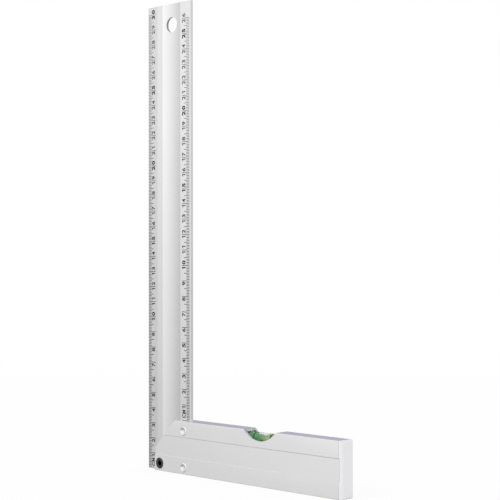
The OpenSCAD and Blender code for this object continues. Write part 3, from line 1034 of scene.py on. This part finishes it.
def reflection_tent(settings):
    """Shell that only reflections see, with a dim and bluish side behind the heel"""
    bm = bmesh.new()
    bmesh.ops.create_uvsphere(bm, u_segments=64, v_segments=32, radius=settings.tent_size)
    tent = mesh_object("tent", bm)
    finish = Finish("tent light")
    way = finish.node("VectorMath", [(0, finish.place())], operation="NORMALIZE").outputs[0]
    back = finish.node("VectorMath", [(0, way)], [(1, (-1, -1, 1))], operation="MULTIPLY")
    parts = finish.node("SeparateXYZ", [("Vector", back.outputs[0])]).outputs
    angle = finish.node("Math", [(0, parts["X"]), (1, parts["Y"])], operation="ARCTAN2")
    turn = finish.between(angle.outputs[0], 0, 1, -math.pi, math.pi)
    under = finish.mix(finish.between(parts["Z"], 0, 1, *FLOOR_TO_UNDER),
                       round_colours(finish, turn, TENT_FLOOR),
                       round_colours(finish, turn, TENT_UNDER))
    horizon = finish.mix(finish.between(parts["Z"], 0, 1, *UNDER_TO_OVER), under,
                         round_colours(finish, turn, TENT_OVER))
    rise = finish.between(parts["Z"], settings.tent_level - settings.tent_rise / 2,
                          settings.tent_level + settings.tent_rise / 2, *RISE)
    level = finish.node("VectorMath", [(0, horizon), ("Scale", rise)], operation="SCALE")
    dimmed = finish.node("VectorMath", [
        (0, level.outputs[0]), (1, round_colours(finish, turn, TENT_SHADE))],
        operation="MULTIPLY")
    shaded = finish.mix(finish.between(parts["Z"], 0, 1, *SHADE_SETS_IN), level.outputs[0],
                        dimmed.outputs[0])
    upper = finish.mix(finish.between(parts["Z"], 0, 1, *OVER_TO_HIGH), shaded,
                       round_colours(finish, turn, TENT_HIGH))
    low = settings.tent_low
    whole = finish.mix(finish.between(parts["Z"], 1, 0, *BOTTOM), upper,
                       (low, low, low, 1))
    glow = finish.node("Emission", [("Color", whole)])
    finish.tree.links.new(glow.outputs[0], finish.tree.nodes["Material Output"].inputs[0])
    tent.data.materials.append(finish.material)
    tent.visible_camera = False
    tent.visible_diffuse = False
    tent.visible_transmission = False
    tent.visible_volume_scatter = False
    tent.visible_shadow = False


class SQUARE_OT_stage(bpy.types.Operator):
    """Floor, lamps, white surround and the camera"""
    bl_idname = "try_square.stage"
    bl_label = "Stage"

    def execute(self, context):
        s = context.scene.square_stage
        scene = context.scene
        scene.view_settings.view_transform = "Standard"

        world = bpy.data.worlds.new("Studio")
        world.use_nodes = True
        scene.world = world
        nodes, links = world.node_tree.nodes, world.node_tree.links
        background = nodes["Background"]
        background.inputs["Color"].default_value = (1, 1, 1, 1)
        level = nodes.new("ShaderNodeMapRange")
        level.inputs["To Min"].default_value = s.fill
        level.inputs["To Max"].default_value = 1.0
        links.new(looking_rays(world.node_tree), level.inputs["Value"])
        links.new(level.outputs["Result"], background.inputs["Strength"])

        white_floor(s)
        reflection_tent(s)
        soft_lamp("key", KEY_PLACE, 0.9, s.key_power)
        soft_lamp("side", SIDE_PLACE, 0.8, s.side_power)

        data = bpy.data.cameras.new("camera")
        data.lens = s.lens
        data.sensor_width = SENSOR
        data.clip_start, data.clip_end = NEAR, FAR
        camera = bpy.data.objects.new("camera", data)
        turn = Matrix.Rotation(s.camera_turn, 4, "Z")
        lift = Matrix.Rotation(math.pi / 2 + s.camera_lift, 4, "X")
        roll = Matrix.Rotation(s.camera_roll, 4, "Z")
        camera.matrix_world = Matrix.Translation(s.camera_place) @ turn @ lift @ roll
        scene.collection.objects.link(camera)
        scene.camera = camera
        return {"FINISHED"}


class SQUARE_PT_panel(bpy.types.Panel):
    """Lists the square's pieces in the order they are made"""
    bl_idname = "SQUARE_PT_panel"
    bl_label = "Try Square"
    bl_space_type = "VIEW_3D"
    bl_region_type = "UI"
    bl_category = "Try Square"

    def draw(self, context):
        for operator in OPERATORS:
            self.layout.operator(operator.bl_idname)
        for name, group in SETTINGS.items():
            box = self.layout.box()
            box.label(text=group.__doc__)
            for setting in group.__annotations__:
                box.prop(getattr(context.scene, name), setting)


SETTINGS = {
    "square_blade": BladeSettings,
    "square_numbers": NumberSettings,
    "square_stock": StockSettings,
    "square_vial": VialSettings,
    "square_stage": StageSettings,
}
OPERATORS = (
    SQUARE_OT_blade, SQUARE_OT_lines, SQUARE_OT_numbers, SQUARE_OT_stock,
    SQUARE_OT_packers, SQUARE_OT_screw, SQUARE_OT_rivets, SQUARE_OT_vial, SQUARE_OT_cap,
    SQUARE_OT_stage,
)


def register():
    for kind in (*SETTINGS.values(), *OPERATORS, SQUARE_PT_panel):
        bpy.utils.register_class(kind)
    for name, group in SETTINGS.items():
        setattr(bpy.types.Scene, name, PointerProperty(type=group))


def unregister():
    for name in SETTINGS:
        delattr(bpy.types.Scene, name)
    for kind in reversed((*SETTINGS.values(), *OPERATORS, SQUARE_PT_panel)):
        bpy.utils.unregister_class(kind)


def main():
    register()
    for operator in OPERATORS:
        group, name = operator.bl_idname.split(".")
        getattr(getattr(bpy.ops, group), name)()


if __name__ == "__main__":
    main()
